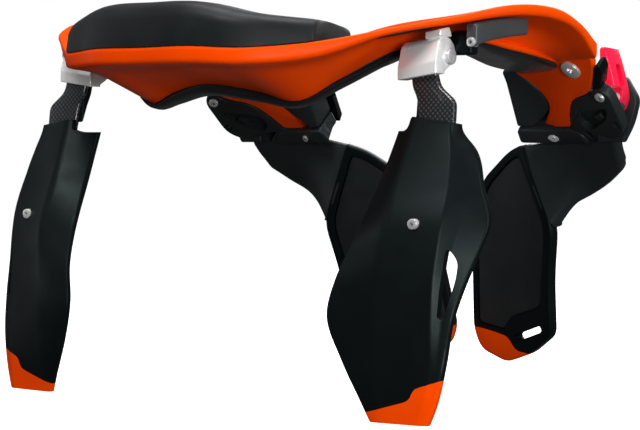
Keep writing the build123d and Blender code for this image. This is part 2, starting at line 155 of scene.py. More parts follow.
def moulded(name, dark, light, gloss, grain, **values):
    """Injection-moulded plastic: faint colour drift, patchy gloss and a fine spark-eroded grain."""
    look = Look(name, **values)
    look.colour(look.noise(14), dark, light)
    look.roughness(look.noise(60, 6), gloss[0], gloss[1])
    look.bump((look.noise(2600, 2), grain, 0.00008), (look.noise(18), 0.05, 0.0008))
    return look.material


orange = moulded("orange_plastic", (0.86, 0.058, 0.0), (0.97, 0.074, 0.0), (0.3, 0.4), 0.10,
                 Specular_IOR_Level=0.04)
black = moulded("black_plastic", (0.0022, 0.0035, 0.0039), (0.004, 0.0059, 0.0065), (0.32, 0.42), 0.35,
                Specular_IOR_Level=0.1, Specular_Tint=(0.8, 1.0, 1.0, 1))
# Lighter, glossier copy of the black plastic: painted light for the side body, latch frame, side core and
# chest arm, where more light falls from below and in front
painted_lit_black = moulded("painted_lit_black_plastic", (0.0145, 0.018, 0.0185), (0.021, 0.026, 0.0265), (0.32, 0.42), 0.35,
                  Specular_IOR_Level=0.15)
grey = moulded("grey_plastic", (0.045, 0.05, 0.055), (0.062, 0.068, 0.072), (0.3, 0.42), 0.3)
red = moulded("red_plastic", (0.92, 0.004, 0.045), (1.0, 0.012, 0.07), (0.2, 0.3), 0.05,
              Coat_Weight=0.4, Coat_Roughness=0.1)


def skinned_foam(name, dark, light, gloss):
    """Moulded foam with a smooth, faintly dimpled skin."""
    look = Look(name, Sheen_Weight=0.04, Sheen_Roughness=0.5, Specular_IOR_Level=0.18)
    look.colour(look.noise(22), dark, light)
    look.roughness(look.noise(90, 5), gloss[0], gloss[1])
    look.bump((look.noise(1500, 3), 0.3, 0.0001), (look.noise(30, 2), 0.03, 0.0006))
    return look.material


foam = skinned_foam("skinned_foam", (0.0055, 0.0075, 0.0085), (0.010, 0.0125, 0.0135), (0.42, 0.55))
glossy_foam = skinned_foam("glossy_foam", (0.005, 0.006, 0.007), (0.009, 0.010, 0.011), (0.2, 0.3))


def metal(name, low, high, gloss, scratch, metallic):
    """Bare metal: small shifts of colour, patchy gloss and fine scratches."""
    look = Look(name, Metallic=metallic)
    look.colour(look.noise(40), low, high)
    look.roughness(look.noise(120, 5), gloss[0], gloss[1])
    look.bump((look.noise(500, 3), scratch, 0.00006))
    return look.material


alloy = metal("polished_alloy", (0.93, 0.94, 0.94), (0.98, 0.98, 0.98), (0.2, 0.28), 0.03, 0.3)
steel = metal("zinc_steel", (0.62, 0.63, 0.64), (0.76, 0.76, 0.75), (0.26, 0.4), 0.1, 0.5)


def woven_carbon():
    """Twill of dark strands under a clear coat: each strand leans its highlight its own way."""
    look = Look("carbon_weave", Metallic=0.35, Coat_Weight=1.0, Coat_Roughness=0.08)
    heights = []
    for turn in (math.radians(45), math.radians(-45)):
        mapping = look.add("ShaderNodeMapping")
        mapping.inputs["Rotation"].default_value = (0, turn, 0)
        look.link(look.where, mapping.inputs["Vector"])
        wave = look.add("ShaderNodeTexWave", wave_type="BANDS", bands_direction="X")
        wave.inputs["Scale"].default_value = 165
        wave.inputs["Distortion"].default_value = 0.4
        look.link(mapping.outputs["Vector"], wave.inputs["Vector"])
        heights.append(wave.outputs["Fac"])
    mix = look.add("ShaderNodeMath", operation="MULTIPLY")
    look.link(heights[0], mix.inputs[0])
    look.link(heights[1], mix.inputs[1])
    look.colour(mix.outputs[0], (0.006, 0.007, 0.008), (0.075, 0.082, 0.09), (0.1, 0.7))
    look.roughness(mix.outputs[0], 0.5, 0.25)
    look.bump((mix.outputs[0], 0.35, 0.0002))
    return look.material


carbon = woven_carbon()
LOOKS = {"orange": orange, "black": black, "foam": foam, "steel": steel, "alloy": alloy, "red": red,
         "carbon": carbon}

floor_look = Look("studio_floor", Roughness=0.6, Emission_Strength=0.93)
floor_look.shader.inputs["Emission Color"].default_value = (1, 1, 1, 1)
floor_look.colour(floor_look.noise(3), (0.93, 0.93, 0.93), (0.96, 0.96, 0.96))
floor_look.bump((floor_look.noise(30), 0.02, 0.001))


# --- Mesh building -----------------------------------------------------------------------------
def rounded(corners, radii, steps=4):
    """Closed outline with each corner turned into a short curve; works in two or three dimensions."""
    corners = np.array(corners, float)
    if not hasattr(radii, "__len__"):
        radii = [radii] * len(corners)
    points = []
    for i, corner in enumerate(corners):
        before = corners[i - 1] - corner
        after = corners[(i + 1) % len(corners)] - corner
        start = corner + before * min(radii[i] / np.linalg.norm(before), 0.48)
        end = corner + after * min(radii[i] / np.linalg.norm(after), 0.48)
        for t in np.linspace(0, 1, steps + 1):
            points.append((1 - t) ** 2 * start + 2 * t * (1 - t) * corner + t * t * end)
    return np.array(points)


def smooth_along(sections, steps):
    """More sections between the given ones, on a smooth curve through them."""
    sections = np.array(sections, float)
    gaps = np.linalg.norm(np.diff(sections.mean(1), axis=0), axis=1)
    chords = np.diff(sections, axis=0) / gaps[:, None, None]
    slopes = np.concatenate((chords[:1], chords[-1:]))
    if len(chords) > 1:
        share = (gaps[1:] / (gaps[:-1] + gaps[1:]))[:, None, None]
        slopes = np.concatenate((chords[:1], chords[:-1] * share + chords[1:] * (1 - share), chords[-1:]))
    made = []
    for i, gap in enumerate(gaps):
        for t in np.arange(steps) / steps:
            leave, leave_slope = 2 * t ** 3 - 3 * t ** 2 + 1, t ** 3 - 2 * t ** 2 + t
            reach, reach_slope = 3 * t ** 2 - 2 * t ** 3, t ** 3 - t ** 2
            made.append(leave * sections[i] + leave_slope * gap * slopes[i]
                        + reach * sections[i + 1] + reach_slope * gap * slopes[i + 1])
    made.append(sections[-1])
    return np.array(made)


def domed_ends(sections, radius, steps=4):
    """Rounds both ends of a swept form."""
    sections = [np.array(s) for s in sections]

    def cap(last, previous):
        centre = last.mean(0)
        out = centre - previous.mean(0)
        out = out / np.linalg.norm(out)
        size = np.linalg.norm(last - centre, axis=1).mean()
        made = []
        for k in range(1, steps + 1):
            angle = math.pi / 2 * k / steps
            shrink = 1 - min(0.9, radius / size) * (1 - math.cos(angle))
            made.append(centre + (last - centre) * shrink + out * radius * (math.sin(angle) - 1))
        return made

    first = cap(sections[0], sections[1])
    final = cap(sections[-1], sections[-2])
    return np.array(first[::-1] + sections[1:-1] + final)


def mesh_object(name, vertices, faces, sharp=35):
    """An object from points in millimetres; edges that turn by more than the sharp angle stay crisp."""
    mesh = bpy.data.meshes.new(name)
    metres = [(x * MM, y * MM, (z + LIFT) * MM) for x, y, z in vertices]
    mesh.from_pydata(metres, [], faces)
    shape = bmesh.new()
    shape.from_mesh(mesh)
    bmesh.ops.remove_doubles(shape, verts=shape.verts, dist=1e-6)
    bmesh.ops.recalc_face_normals(shape, faces=shape.faces)
    shape.to_mesh(mesh)
    shape.free()
    mesh.shade_smooth()
    mesh.set_sharp_from_angle(angle=math.radians(sharp))
    made = bpy.data.objects.new(name, mesh)
    bpy.context.scene.collection.objects.link(made)
    return made


def skin(name, sections, sharp=35):
    """Closed form through rings of equal length, with both ends filled."""
    rings, count = len(sections), len(sections[0])
    vertices = np.concatenate(sections)
    faces = []
    for i in range(rings - 1):
        for j in range(count):
            k = (j + 1) % count
            faces.append((i * count + j, i * count + k, (i + 1) * count + k, (i + 1) * count + j))
    faces.append(tuple(range(count))[::-1])
    faces.append(tuple((rings - 1) * count + j for j in range(count)))
    return mesh_object(name, vertices, faces, sharp)


def inset(outline, distance):
    """Outline moved inwards by a distance; the outline may run either way round."""
    points = np.array(outline, float)
    after = np.roll(points, -1, 0) - points
    area = (points[:, 0] * np.roll(points[:, 1], -1) - np.roll(points[:, 0], -1) * points[:, 1]).sum()
    turn = 1 if area > 0 else -1
    length = np.maximum(np.linalg.norm(after, axis=1), 1e-9)[:, None]
    normal = np.stack((-after[:, 1], after[:, 0]), 1) / length * turn
    mean = normal + np.roll(normal, 1, 0)
    mean /= np.maximum(np.linalg.norm(mean, axis=1), 1e-9)[:, None]
    return points + mean * distance


class Slope:
    """A plane by its origin and the direction it faces: u level and outboard, v up, w towards the wearer."""

    def __init__(self, origin, normal):
        self.origin = np.array(origin, float)
        self.w = -np.array(normal, float) / np.linalg.norm(normal)
        self.u = np.array((normal[1], -normal[0], 0), float)
        self.u /= np.linalg.norm(self.u)
        self.v = np.cross(self.w, self.u)

    def at(self, points, w):
        points = np.array(points, float)
        return self.origin + points[:, :1] * self.u + points[:, 1:2] * self.v + self.w * w


class Axes:
    """A plane along the frame's axes: two of x, y, z are the outline's, and the third is the depth."""

    def __init__(self, order):
        self.order = ["xyz".index(letter) for letter in order]

    def at(self, points, w):
        points = np.array(points, float)
        made = np.empty((len(points), 3))
        made[:, self.order[0]] = points[:, 0]
        made[:, self.order[1]] = points[:, 1]
        made[:, self.order[2]] = w
        return made


PLATE = Slope((98, 98, 140), (0.196, 0.655, 0.730))
CHEST_FACE = Slope((60.6, 109.6, 129.5), (0.314, 0.933, 0.177))
XZ = Axes("xzy")
YZ = Axes("yzx")
XY = Axes("xyz")


def panel(name, plane, outline, low, high, edge=0.8, radii=2.0, steps=4, sharp=50):
    """Plate between two depths, with rounded corners and rolled edges."""
    outline = rounded(outline, radii, steps)
    turns = [math.pi / 2 * k / 3 for k in range(4)]
    edges = [(inset(outline, edge * (1 - math.sin(a))), edge * (1 - math.cos(a))) for a in turns]
    sections = [plane.at(line, low + depth) for line, depth in edges]
    sections += [plane.at(line, high - depth) for line, depth in reversed(edges)]
    return skin(name, sections, sharp)


def disc(centre, radius, count=40):
    """Outline of a circle."""
    return [(centre[0] + radius * math.cos(2 * math.pi * k / count),
             centre[1] + radius * math.sin(2 * math.pi * k / count)) for k in range(count)]


def baked(piece):
    """The piece's mesh with its modifiers made real."""
    bpy.context.view_layer.update()
    graph = bpy.context.evaluated_depsgraph_get()
    mesh = bpy.data.meshes.new_from_object(piece.evaluated_get(graph))
    piece.modifiers.clear()
    piece.data = mesh
    return piece


def bore(plane, centre, radius, low, high):
    """Round cutting tool between two depths."""
    return panel("bore", plane, disc(centre, radius), low, high, 0.02, 0.01, 1)


def carve(piece, tool, operation="DIFFERENCE", sharp=35):
    """The piece less the tool, or only what both hold; the tool is used up."""
    change = piece.modifiers.new("carve", "BOOLEAN")
    change.operation = operation
    change.object = tool
    change.solver = "EXACT"
    baked(piece)
    bpy.data.objects.remove(tool)
    piece.data.shade_smooth()
    piece.data.set_sharp_from_angle(angle=math.radians(sharp))
    return piece


def joined(name, *parts):
    """One object of several closed shells."""
    shape = bmesh.new()
    for part in parts:
        shape.from_mesh(part.data)
    mesh = bpy.data.meshes.new(name)
    shape.to_mesh(mesh)
    shape.free()
    for part in parts:
        bpy.data.objects.remove(part)
    mesh.set_sharp_from_angle(angle=math.radians(40))
    made = bpy.data.objects.new(name, mesh)
    bpy.context.scene.collection.objects.link(made)
    return made


def screw_head(name, plane, centre, radius, face, back, socket):
    """Round head with a rolled rim and a hexagon socket, from its face to its hidden end on the plane."""
    count, side = 42, math.pi / 3
    circle = np.array(disc((0, 0), 1, count))
    off_middle = np.arange(count) * 2 * math.pi / count % side - side / 2
    hexagon = circle * (math.cos(side / 2) / np.cos(off_middle))[:, None]
    depth = abs(face - back)
    roll = min(0.6, radius * 0.25)
    shoulder = roll * (1 - math.sqrt(0.5))
    profile = [(circle, radius, depth), (circle, radius, roll), (circle, radius - shoulder, shoulder),
               (circle, radius - roll, 0), (hexagon, socket, 0), (hexagon, socket, depth * 0.6)]
    sections = [plane.at(outline * size + centre, face + (back - face) * down / depth)
                for outline, size, down in profile]
    return skin(name, sections, 30)


def copy_of(piece, name, mirrored=False):
    """The piece's double, or its mirror image on the other side of x = 0."""
    mesh = piece.data.copy()
    if mirrored:
        mesh.transform(Matrix.Scale(-1, 4, (1, 0, 0)))
        mesh.flip_normals()
    made = bpy.data.objects.new(name, mesh)
    bpy.context.scene.collection.objects.link(made)
    return made


BODY_OF = {node: body for body, nodes in frame["record"]["behaviour"]["bodies"].items() for node in nodes}
SLOT_OF = {part["node"]: part["material_slot"] for part in frame["record"]["subparts"]}


def stand_for(piece, node, look=None):
    """The piece takes a CAD node's place, body and finish."""
    piece.data.materials.clear()
    piece.data.materials.append(look or LOOKS[SLOT_OF[node]])
    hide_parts(node)
    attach(piece, BODY_OF[node])


def stand_for_pair(piece, node, look=None):
    """The piece stands for the right node and its mirror image for the left one."""
    other = copy_of(piece, f"{piece.name}_left", mirrored=True)
    piece.name = f"{piece.name}_right"
    stand_for(piece, f"{node}_right", look)
    stand_for(other, f"{node}_left", look)


def extra_pair(piece, name, slot):
    """A right and a left piece on the rear body that stand for no CAD node."""
    other = copy_of(piece, f"{name}_left", mirrored=True)
    piece.name = f"{name}_right"
    for made in (piece, other):
        made.data.materials.append(LOOKS[slot])
        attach(made, "rear")


# --- Ring ----------------------------------------------------------------------------------------
# Stations of the ring, from the middle of the back to the right end. Outer and neck are the ends of the
# section seen from above; knee and low are corners of the shell as (inwards, height); drop is how far the
# pad hangs under low; the others are heights.
Station = namedtuple("Station", "outer neck top base knee low drop neck_base neck_top")
STATIONS = [Station(*row) for row in (
    ((0, -158), (0, -76), 176.6, 168.6, (22, 167), (54, 160), 6, 160, 182),
    ((30, -156.5), (26, -75), 176.8, 168.6, (22, 167), (60, 156), 6, 158, 182),
    ((52, -148), (42, -70), 175.8, 168, (20, 166), (58, 151), 3.5, 157, 182),
    ((79, -122), (58, -57), 178.8, 171.5, (18, 170.5), (44, 162), 4.5, 164, 183.5),
    ((105, -97), (68, -40), 185.5, 182.3, (22, 183.3), (36, 174.5), 4.5, 170, 187),
    ((128, -72), (73, -22), 191.8, 187.9, (32, 188.4), (42, 180.9), 3.2, 177, 191),
    ((143, -42), (75, -4), 198.2, 192.9, (30, 191.9), (39, 182.5), 3.6, 179.5, 192.5),
    ((149, -10), (76, 12), 197.9, 192.5, (27, 190.5), (38, 179.8), 4.4, 177, 190.5),
    ((148.5, 15), (77, 38), 192.2, 187.2, (24, 186), (37, 177.2), 5.2, 171.5, 187.5),
    ((146, 38), (78, 72), 183, 174.5, (20, 175), (38, 173.4), 4.2, 168.5, 185),
)]
ROLL_RISE = [22.5, 21.5, 17.5, 11]
WALL = 4.5
RIM = 5.0
DECK = 3.5


def stood_up(station, outline):
    """Section points from (inwards, height) at a station."""
    outer, neck = np.array(station.outer, float), np.array(station.neck, float)
    inwards = (neck - outer) / np.linalg.norm(neck - outer)
    return [(*(outer + inwards * reach), height) for reach, height in outline]


def span(station):
    """Distance from the outer point to the neck."""
    return math.dist(station.outer, station.neck)


def shell_section(s):
    """Orange shell: a rim, a knee and a low inner edge, with a wall above them."""
    return [(0, s.top), (0, s.base), s.knee, s.low, (s.low[0], s.low[1] + WALL),
            (s.knee[0], s.knee[1] + WALL - 0.5), (RIM, s.base + WALL), (RIM, s.top)]


def deck_section(s):
    """Black deck from the rim to the neck, crowned a little."""
    reach = span(s)
    crown = (s.top + s.neck_top) / 2 + 1
    return [(RIM, s.top - DECK), (reach, s.neck_top - DECK), (reach, s.neck_top), (reach * 0.55, crown),
            (RIM, s.top)]


def pad_section(s):
    """Cushion that fills the ring between the shell's low edge and the neck."""
    reach, edge = s.low
    inner, lid = span(s), s.neck_top - DECK - 1
    return [(reach - 3, edge - 1.5), (reach - 1, edge - s.drop * 0.7), (reach + 6, edge - s.drop),
            (inner - 5, s.neck_base), (inner, s.neck_base + 4), (inner, lid), (inner - 8, lid),
            (reach, edge + WALL), (reach, edge)]


def roll_section(s, rise):
    """Thick pad on the deck, highest over its outer part."""
    top, neck_top, reach = s.top, s.neck_top, span(s)
    slope = (neck_top - top) / (reach - RIM)
    return [(0.3, top + 0.1), (RIM, top + 0.1), (reach - 2, neck_top + 0.1 - 2 * slope),
            (reach - 5, neck_top + rise * 0.4), (26, top + rise), (8, top + rise), (2, top + rise * 0.8)]


def both_ways(half):
    """Sections from the left end to the right end, from those of the right half."""
    flipped = [[(-x, y, z) for x, y, z in section] for section in half[:0:-1]]
    return flipped + half


def ring(name, half, radii, dome=None, whole=True):
    """A form through the right half's sections, and their mirror images where it goes all round."""
    corners = smooth_along(both_ways(half) if whole else half, 8)
    sections = [rounded(section, radii) for section in corners]
    if dome:
        sections = domed_ends(sections, dome)
    return skin(name, sections, 40)


SHELL_RADII = (1.8, 2.6, 7, 1.4, 1.4, 4, 2, 1.2)
DECK_RADII = (0.3, 1.5, 1.5, 12, 0.3)
ROLL_RADII = (0.5, 2, 3, 12, 9, 5, 4)
PAD_RADII = (1, 1.5, 4, 5, 3, 3, 3, 1, 0.5)

stand_for(ring("shell", [stood_up(s, shell_section(s)) for s in STATIONS], SHELL_RADII), "ring_shell")
stand_for(ring("deck", [stood_up(s, deck_section(s)) for s in STATIONS], DECK_RADII), "ring_deck")
roll_lines = [stood_up(s, roll_section(s, rise)) for s, rise in zip(STATIONS, ROLL_RISE)]
stand_for(ring("rear_roll", roll_lines, ROLL_RADII, dome=2.5), "rear_pad")
pad_lines = [stood_up(s, pad_section(s)) for s in STATIONS]
stand_for(ring("spine_cushion", pad_lines[:5], PAD_RADII), "spine_pad")
stand_for_pair(ring("shoulder_cushion", pad_lines[4:], PAD_RADII, whole=False), "shoulder_pad", glossy_foam)

# --- Side plate ------------------------------------------------------------------------------------
TONGUE_RADII = (3, 2, 5, 8, 8, 6, 4, 4, 8, 8, 10, 10)
TONGUE = [(-22, -1), (0.5, -1), (8, 11), (17, 21), (33, 24.5), (52, 48), (54, 75), (-12, 60), (-12, 43),
          (-5, 35), (-1.5, 24), (-4.5, 14)]


def past_ring_end(piece):
    """Keeps what lies past the ring's last station, and closes the cut."""
    outer, neck = np.array(STATIONS[-1].outer, float), np.array(STATIONS[-1].neck, float)
    along = (neck - outer) / np.linalg.norm(neck - outer)
    shape = bmesh.new()
    shape.from_mesh(piece.data)
    bmesh.ops.bisect_plane(shape, geom=shape.verts[:] + shape.edges[:] + shape.faces[:],
                           plane_co=(outer[0] * MM, outer[1] * MM, 0), plane_no=(along[1], -along[0], 0),
                           clear_inner=True)
    bmesh.ops.holes_fill(shape, edges=shape.edges[:])
    shape.to_mesh(piece.data)
    shape.free()
    return piece


stand_for_pair(past_ring_end(panel("side_plate", PLATE, TONGUE, -4.5, 0, 0.9, TONGUE_RADII)), "side_plate")

# --- Chest plates -------------------------------------------------------------------------------------
CHEST = [(0, 0), (-12, -4), (-38, -21), (-50, -42), (-56, -64), (-61.5, -95), (-64.5, -113), (-60, -125.5),
         (-38, -132), (-16, -125), (3.5, -113), (8, -80), (16.5, -48), (10, -28)]
CHEST_RADII = (3, 6, 8, 8, 10, 10, 6, 6, 5, 6, 5, 12, 9, 9)
LINING = [(-3, -6), (-12, -9), (-34.5, -24.5), (-46, -44), (-51.5, -65), (-57, -96), (-59, -109), (-36, -112),
          (-29, -104), (-1.5, -96), (3, -79), (11, -49), (5, -30)]
LINING_RADII = (3, 6, 8, 8, 10, 8, 3, 3, 5, 4, 10, 8, 8)
TIP_TOP = [(-80, -110), (-52, -112.5), (-34, -115.5), (-28, -124), (-10, -125.5), (-10, -145), (-80, -145)]
TIP_TOP_RADII = (1, 8, 4, 4, 1, 1, 1)
SLOT = (-15.4, -112.6)
SLOT_LENGTH, SLOT_WIDTH = 25, 4
SLOT_LEAN = math.radians(18)
chest = panel("chest_plate", CHEST_FACE, CHEST, -6.5, 0, 1.1, CHEST_RADII)
tip = copy_of(chest, "chest_tip")
carve(chest, panel("recess", CHEST_FACE, LINING, -3, 6, 0.05, LINING_RADII))
carve(chest, panel("below", CHEST_FACE, TIP_TOP, -20, 20, 0.05, TIP_TOP_RADII))
carve(tip, panel("below", CHEST_FACE, TIP_TOP, -20, 20, 0.05, TIP_TOP_RADII), "INTERSECT")
slot_outline = []
for end, side in ((-1, -1), (1, -1), (1, 1), (-1, 1)):
    a, b = end * SLOT_LENGTH / 2, side * SLOT_WIDTH / 2
    slot_outline.append((SLOT[0] + a * math.cos(SLOT_LEAN) - b * math.sin(SLOT_LEAN),
                         SLOT[1] + a * math.sin(SLOT_LEAN) + b * math.cos(SLOT_LEAN)))
carve(chest, panel("slot", CHEST_FACE, slot_outline, -20, 20, 0.05, 2.2))
stand_for_pair(chest, "chest_plate")
stand_for_pair(tip, "chest_tip")
lining = panel("chest_lining", CHEST_FACE, inset(LINING, 0.5), -3, -0.9, 1.0, LINING_RADII)
stand_for_pair(lining, "chest_lining")

# --- Back wings ------------------------------------------------------------------------------------------
# Each level of the wing: height, then medial edge, ridge, outer ridge, step and outer edge of its rear face.
WING = [
    (144, (97.7, -73), (110.9, -84.6), (131, -81.2), (131.8, -79), (132.2, -77)),
    (137, (97, -76), (110.3, -87.5), (131, -83.6), (132, -81), (133, -78)),
    (127, (96, -81), (109.5, -92), (133, -87), (137.5, -82), (140.5, -77)),
    (110, (94, -90), (108.7, -99.9), (135.5, -93), (142, -86), (147, -81)),
    (92, (91, -101), (109, -107.5), (135.9, -100), (142, -92), (152, -83.5)),
    (83, (89.5, -106), (108.8, -110), (135.5, -102), (140.5, -95.5), (150.5, -87)),
    (66, (85.5, -114.5), (107.4, -113), (134.3, -104.5), (138.8, -99.5), (146, -94)),
    (48, (82.5, -117.5), (106.3, -114), (134, -106), (138, -102.5), (142.5, -100.5)),
    (27, (89, -114.5), (105, -113), (134, -107), (137, -105.5), (140.4, -104)),
    (6, (98.5, -111), (105.5, -111), (130.4, -108), (133, -107), (136, -106)),
    (-2, (102, -109.5), (106, -110), (127.5, -108.5), (130, -108), (133, -107)),
]
WING_WALL = 3.6
TIP_LINE = [(60, 2), (100.5, 2.4), (124, 9.5), (126, 15), (142, 20.5), (160, 20.5), (160, -12), (60, -12)]
WINDOW = [(138.2, 82), (142.6, 75), (142.2, 66), (138.6, 47), (136.2, 49), (136.6, 62)]


def wing_corners(row):
    """Closed section of the wing at one level: its rear face, then its front face."""
    height = row[0]
    rear = [(x, y, height) for x, y in row[1:]]
    front = [(x, y + WING_WALL, height) for x, y in reversed(row[1:])]
    return rear + front


def wing_at(height):
    """The wing's five rear points at a height."""
    for upper, lower in zip(WING, WING[1:]):
        if upper[0] >= height >= lower[0]:
            share = (upper[0] - height) / (upper[0] - lower[0])
            return [(a[0] + (b[0] - a[0]) * share, a[1] + (b[1] - a[1]) * share)
                    for a, b in zip(upper[1:], lower[1:])]


WING_RADII = (1.2, 3.2, 0.9, 0.9, 1.1, 1.1, 1.5, 1.5, 2.5, 1.2)
WING_TOP = [(80, 136.5), (104.5, 136.5), (108.2, 138), (108.8, 143.6), (131, 140.4), (134, 138.6),
            (150, 138.2), (160, 160), (80, 160)]
TIP_RADII = (1, 5, 3, 3, 4, 1, 1, 1)
WING_HOLE = (123, 92.5)

wing_lines = smooth_along([wing_corners(row) for row in WING], 8)
wing = skin("wing_shell", [rounded(section, WING_RADII, 3) for section in wing_lines], 24)
carve(wing, panel("above", XZ, WING_TOP, -140, -60, 0.05, (1, 2, 2, 2, 2, 2, 1, 1, 1)), sharp=24)
wing_tip = copy_of(wing, "wing_tip")
carve(wing, panel("below", XZ, TIP_LINE, -140, -60, 0.05, TIP_RADII), sharp=24)
carve(wing_tip, panel("below", XZ, TIP_LINE, -140, -60, 0.05, TIP_RADII), "INTERSECT", sharp=24)
carve(wing, panel("window", XZ, WINDOW, -140, -60, 0.05, (3, 3, 4, 1.5, 1, 4)), sharp=24)
carve(wing, bore(XZ, WING_HOLE, 2.9, -140, -60), sharp=24)
stand_for_pair(wing, "wing_shell")
stand_for_pair(wing_tip, "wing_tip")


WING_PAD_GAP = 0.3
WING_PAD_THICK = 4.6
WING_PAD_MARGIN = 6


def wing_pad(name, heights):
    """Crowned cushion on the wearer's side of the wing, over a band of heights."""
    sections = []
    for height in heights:
        medial, ridge, outer = wing_at(height)[:3]
        across = ((medial[0] + WING_PAD_MARGIN, medial[1]), ridge, (outer[0] - 1, outer[1]))
        near = WING_WALL + WING_PAD_GAP
        section = [(x, y + near, height) for x, y in across]
        section += [(x, y + near + WING_PAD_THICK, height) for x, y in reversed(across)]
        sections.append(section)
    lines = smooth_along(sections, 5)
    return skin(name, domed_ends([rounded(line, (0.6, 6, 0.6, 2.6, 8, 2.6)) for line in lines], 2.4))


WING_BANDS = {"upper": (120.5, 110, 104), "middle": (101, 94, 83, 66, 62), "lower": (59, 48, 21, 12)}
for band, heights in WING_BANDS.items():
    stand_for_pair(wing_pad(f"wing_cushion_{band}", heights), f"wing_pad_{band}")

stand_for_pair(screw_head("wing_screw", XZ, WING_HOLE, 2.6, -105.2, -101.6, 1.0), "wing_screw")

# --- Struts and hinges ----------------------------------------------------------------------------------
STRUT_FACE = [(104.8, 165), (118.5, 165), (120.5, 158), (130, 150.5), (130.2, 139), (128.5, 122), (112, 122),
              (110.8, 141), (109, 152), (105.5, 158)]


def bent(piece, cuts, shift):
    """Cuts the piece at heights, then moves each point along y by a rule of its height."""
    shape = bmesh.new()
    shape.from_mesh(piece.data)
    for height in cuts:
        bmesh.ops.bisect_plane(shape, geom=shape.verts[:] + shape.edges[:] + shape.faces[:],
                               plane_co=(0, 0, (height + LIFT) * MM), plane_no=(0, 0, 1))
    for vertex in shape.verts:
        vertex.co.y += shift(vertex.co.z / MM - LIFT) * MM
    shape.to_mesh(piece.data)
    shape.free()
    return piece


strut = panel("wing_strut", XZ, STRUT_FACE, -3.5, 0, 0.7, (1, 1, 3, 3, 4, 1, 1, 4, 4, 3))
STRUT_HEIGHTS, STRUT_DEPTHS = (122, 141, 161.9, 165), (-79.5, -75.9, -73.5, -73.5)
bent(strut, range(123, 161, 3), lambda height: float(np.interp(height, STRUT_HEIGHTS, STRUT_DEPTHS)))
stand_for_pair(strut, "wing_strut")
RIB = [(-74.5, 164.5), (-67.5, 164.5), (-68.5, 158), (-73, 149.5), (-75.4, 143), (-77.2, 141.6)]
stand_for_pair(panel("strut_rib", YZ, RIB, 107.5, 113, 0.8, (1, 2, 3, 4, 2, 1)), "strut_rib")

CHEEK = [(-75, 164.5), (-75, 178.6), (-72, 180.8), (-66, 180.2), (-61.5, 176), (-61.5, 169.5), (-67, 166),
         (-72, 163.4)]
CHEEK_RADII = (1, 1.5, 1.5, 4, 3, 3, 4, 1)
BAR = [(-80, 162.6), (-80, 168.4), (-76.8, 178.6), (-73, 181), (-71.5, 181), (-71.5, 162.6)]
bar = panel("bar", YZ, BAR, 98.8, 120.6, 0.5, (0.6, 0.8, 1.5, 1.5, 0.5, 0.5))
inner_cheek = panel("inner_cheek", YZ, CHEEK, 98.85, 102.4, 0.7, CHEEK_RADII)
outer_cheek = panel("outer_cheek", YZ, CHEEK, 116.8, 120.55, 0.7, CHEEK_RADII)
tab = panel("tab", YZ, [(-76, 180.4), (-76, 184), (-67, 185.4), (-65, 180.6)], 112, 120.8, 0.6, 1.2)
BOLT = (-67.5, 172.5)
HINGE_MIDDLE = 110
HINGE_LEAN = 0.14  # rise of the block's outer end over its width
hinge = joined("hinge_block", bar, inner_cheek, outer_cheek, tab)
for vertex in hinge.data.vertices:
    vertex.co.z += (vertex.co.x - HINGE_MIDDLE * MM) * HINGE_LEAN
stand_for_pair(hinge, "hinge_block")
outer_end = screw_head("outer_end", YZ, BOLT, 4.0, 122.6, 120, 1.9)
inner_end = screw_head("inner_end", YZ, BOLT, 4.0, 96.6, 99.4, 2.1)
stand_for_pair(joined("hinge_bolt", outer_end, inner_end), "hinge_bolt")

# --- Bracket arm under the flange -------------------------------------------------------------------------
BRACKET = [  # y, x, height, half width, half height
    (-63.5, 130.6, 182.6, 4.6, 7.8),
    (-54, 131, 184.8, 5.5, 7.2),
    (-38, 131.4, 187.2, 6.5, 6.8),
    (-27, 132, 188.4, 6.5, 6.4),
    (-18, 133, 189, 6, 6.2),
]
BRACKET_WIDE, BRACKET_HIGH = 0.62, 0.78


def box_section(y, x, z, wide, high):
    """Upright section of the bracket arm, a little taller on its inner side."""
    return [(x - wide, y, z - high), (x + wide, y, z - high * 0.9), (x + wide, y, z + high * 0.9),
            (x - wide, y, z + high)]


bracket_boxes = [box_section(y, x, z, w * BRACKET_WIDE, h * BRACKET_HIGH) for y, x, z, w, h in BRACKET]
bracket_lines = [rounded(line, 1.6, 4) for line in smooth_along(bracket_boxes, 6)]
stand_for_pair(skin("bracket_arm", domed_ends(bracket_lines, 0.8)), "wing_bracket", grey)
WEB = [(103, -59), (128, -59), (128, -54), (103, -54)]
MOUNT_BLOCK = [(-62, 173.4), (-62, 183.4), (-59, 185.6), (-55, 185.6), (-55, 173.4)]
KNUCKLE = [(-73.4, 167), (-73.4, 176), (-70, 177.2), (-65, 177.2), (-59, 177), (-57, 175), (-57, 171),
           (-63, 167.5)]
web = panel("web", XY, WEB, 173.6, 179, 0.6, 0.8)
mount_block = panel("mount_block", YZ, MOUNT_BLOCK, 117.6, 129.6, 0.8, (1.5, 2, 2, 1, 2))
knuckle = panel("knuckle", YZ, KNUCKLE, 103, 116.4, 0.7, 1.5)
extra_pair(joined("bracket_mount", web, mount_block, knuckle), "bracket_mount", "black")
stand_for_pair(screw_head("bracket_screw", XZ, (130.8, 179.4), 2.3, -65.0, -60.0, 1.1), "bracket_screw")

# --- Side body, latch face and core ------------------------------------------------------------------------
DRAW_FROM, DRAW_REACH = 94, 28      # x where the curve starts, and its width
DRAW_TOP, DRAW_FADE = 166, 26       # height where it starts, and where it is full below that
DRAW_DEPTH = 15


